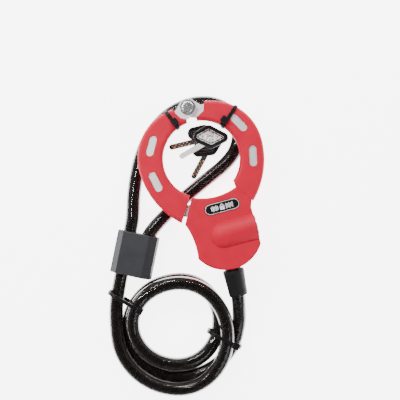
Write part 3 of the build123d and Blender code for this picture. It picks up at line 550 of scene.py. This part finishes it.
def badge_outline(inset, steps=10):
    """The badge's round-ended outline, drawn in by inset."""
    radius = BADGE_SIZE[1] / 2 - inset
    straight = BADGE_SIZE[0] / 2 - BADGE_SIZE[1] / 2
    points = []
    for end in (1, -1):
        for step in range(steps + 1):
            angle = math.pi * (step / steps - 0.5)
            x = BADGE_CENTRE[0] + end * (straight + radius * math.cos(angle))
            y = BADGE_CENTRE[1] + end * radius * math.sin(angle)
            points.append(lock_place(x, y, 0))
    return points


badge_rim = band("badge_rim", badge_outline(0.35), badge_outline(0.75), BADGE_TOP - 0.3, BADGE_TOP + 0.12,
                 bright)


def badge_bar(number, x, y, width, height):
    corners = [(x, y), (x + width, y), (x + width, y + height), (x, y + height)]
    outline = [lock_place(BADGE_CENTRE[0] + cx, BADGE_CENTRE[1] + cy, 0) for cx, cy in corners]
    return slab(f"badge_mark_{number}", outline, BADGE_TOP - 0.2, BADGE_TOP + 0.1, bright)


# a plain padlock between two groups of bars stands for the lettering
badge_marks = [badge_bar(1, -2.0, -2.4, 4.0, 3.2)]
for number, x in enumerate((-9.4, -8.1, -6.8, -5.5, -4.2, 3.2, 4.5, 5.8, 7.1, 8.4), start=2):
    tall = 4.6 if number % 2 else 3.4
    badge_marks.append(badge_bar(number, x, -tall / 2, 0.9, tall))
shackle_outer, shackle_inner = [], []
for step in range(9):
    angle = math.pi * step / 8
    for line, radius in ((shackle_outer, 1.6), (shackle_inner, 0.95)):
        line.append(lock_place(BADGE_CENTRE[0] + radius * math.cos(angle),
                               BADGE_CENTRE[1] + 0.8 + 1.2 * radius * math.sin(angle), 0))
badge_marks.append(slab("badge_shackle", shackle_outer + shackle_inner[::-1], BADGE_TOP - 0.2,
                        BADGE_TOP + 0.1, bright))
for piece in [badge_rim] + badge_marks:
    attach(piece, "lock_and_cable")

# The grips are drawn round four discs, as in the CAD: x, y and radius along the key.
GRIP_DISCS = [(-8.0, 7.0, 5.4), (0.9, 6.5, 5.9), (9.2, -3.7, 4.4), (-1.3, -1.6, 5.9)]
KEY_STEP = 4.4
INLAY_TOP = 4.3
BLADE_TOP = 3.2
DIMPLES = [-28.4, -25.2, -22.0, -18.8, -15.6]
DIMPLE_ROW = 1.1             # each row's distance from the blade's middle
DIMPLE_SHIFT = 1.6           # the second row is set along by this much
DIMPLE_SIDES = 12
ENAMEL_RINGS = ((3.6, 3.75), (3.95, 4.75))   # how far in from the grip's outline
# number, place, heading, and place in the pile from the floor up
KEYS = [(1, (8.6, 17.2), 30.0, 2), (2, (2.9, 17.4), 13.5, 1), (3, (7.4, 11.4), 61.6, 0)]


def grip_outline(inset, steps=72):
    """The hull of the grip's discs, as the furthest disc point in each direction."""
    middle = Vector((0.3, 2.4))
    points = []
    for step in range(steps):
        angle = 2 * math.pi * step / steps
        way = Vector((math.cos(angle), math.sin(angle)))
        best = max(((Vector((x, y)) - middle).dot(way) + radius - inset, number)
                   for number, (x, y, radius) in enumerate(GRIP_DISCS))
        x, y, radius = GRIP_DISCS[best[1]]
        points.append(Vector((x, y)) + (radius - inset) * way)
    return points


for number, centre, heading, place in KEYS:
    turn = math.radians(heading)
    key_x = Vector((math.cos(turn), math.sin(turn)))
    key_y = Vector((-math.sin(turn), math.cos(turn)))
    bottom = FLOOR_Z + place * KEY_STEP

    def on_key(points):
        return [Vector(centre) + p[0] * key_x + p[1] * key_y for p in points]

    body = f"key_{number}"
    for ring, (outside, inside) in enumerate(ENAMEL_RINGS, start=1):
        enamel = band(f"{body}_ring_{ring}", on_key(grip_outline(outside)), on_key(grip_outline(inside)),
                      bottom + INLAY_TOP - 0.1, bottom + INLAY_TOP + 0.04, black_gloss)
        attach(enamel, body)
    if number > 1:
        vertices, faces = [], []
        for x in DIMPLES:
            for dimple_x, dimple_y in ((x, DIMPLE_ROW), (x + DIMPLE_SHIFT, -DIMPLE_ROW)):
                angles = [2 * math.pi * step / DIMPLE_SIDES for step in range(DIMPLE_SIDES)]
                outline = [(dimple_x + 0.85 * math.cos(a), dimple_y + 0.62 * math.sin(a)) for a in angles]
                first = len(vertices)
                for z in (bottom + BLADE_TOP - 0.3, bottom + BLADE_TOP + 0.03):
                    vertices += [Vector((p.x, p.y, z)) * MM for p in on_key(outline)]
                above = first + DIMPLE_SIDES
                faces.append(tuple(above + k for k in range(DIMPLE_SIDES)))
                for k in range(DIMPLE_SIDES):
                    following = (k + 1) % DIMPLE_SIDES
                    faces.append((first + k, first + following, above + following, above + k))
        cuts = mesh_object(f"{body}_cuts", vertices, faces, copper, smooth=False)
        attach(cuts, body)


# ---------------------------------------------------------------- floor and light
SPAN = 3.0                   # half the floor's width, in metres
floor_surface = Surface("floor_white", (0.90, 0.90, 0.90), 0.85)
floor_surface.uneven(floor_surface.noise(30.0), 0.80, 0.95)
floor_surface.bump(floor_surface.noise(900.0), 0.03, 0.0002)
floor_surface.shader.inputs["Emission Color"].default_value = (1.0, 1.0, 1.0, 1.0)
floor_surface.shader.inputs["Emission Strength"].default_value = 5.5
floor_corners = [Vector((x * SPAN, y * SPAN, FLOOR)) for x, y in ((-1, -1), (1, -1), (1, 1), (-1, 1))]
floor = mesh_object("floor", floor_corners, [(0, 1, 2, 3)], floor_surface.material, smooth=False)


def area_light(name, place, aim, size, power):
    data = bpy.data.lights.new(name, "AREA")
    data.shape = "RECTANGLE"
    data.size, data.size_y = size
    data.energy = power
    light = link(bpy.data.objects.new(name, data))
    light.location = place
    light.rotation_euler = (Vector(aim) - Vector(place)).to_track_quat("-Z", "Y").to_euler()
    return light


LOCK_MIDDLE = (0.0, -0.05, 0.0)
area_light("key_light", (-0.35, 0.65, 0.75), LOCK_MIDDLE, (0.5, 0.4), 6.5)
area_light("fill_light", (0.55, -0.55, 0.8), LOCK_MIDDLE, (0.6, 0.6), 4.0)
area_light("left_strip", (-0.50, 0.20, 0.75), LOCK_MIDDLE, (0.05, 0.8), 5.5)
area_light("top_strip", (0.05, 0.60, 0.70), LOCK_MIDDLE, (0.8, 0.05), 5.5)
world = bpy.data.worlds.new("studio")
world.use_nodes = True
backdrop = world.node_tree.nodes["Background"]
backdrop.inputs["Color"].default_value = (1.0, 1.0, 1.0, 1.0)
# bright round the sides of the room and dark overhead, so that black tops stay black
direction = world.node_tree.nodes.new("ShaderNodeTexCoord")
split = world.node_tree.nodes.new("ShaderNodeSeparateXYZ")
fade = world.node_tree.nodes.new("ShaderNodeMapRange")
fade.inputs["From Min"].default_value = 0.45
fade.inputs["From Max"].default_value = 0.90
fade.inputs["To Min"].default_value = 0.75
fade.inputs["To Max"].default_value = 0.05
world.node_tree.links.new(direction.outputs["Generated"], split.inputs["Vector"])
world.node_tree.links.new(split.outputs["Z"], fade.inputs["Value"])
world.node_tree.links.new(fade.outputs["Result"], backdrop.inputs["Strength"])
bpy.context.scene.world = world
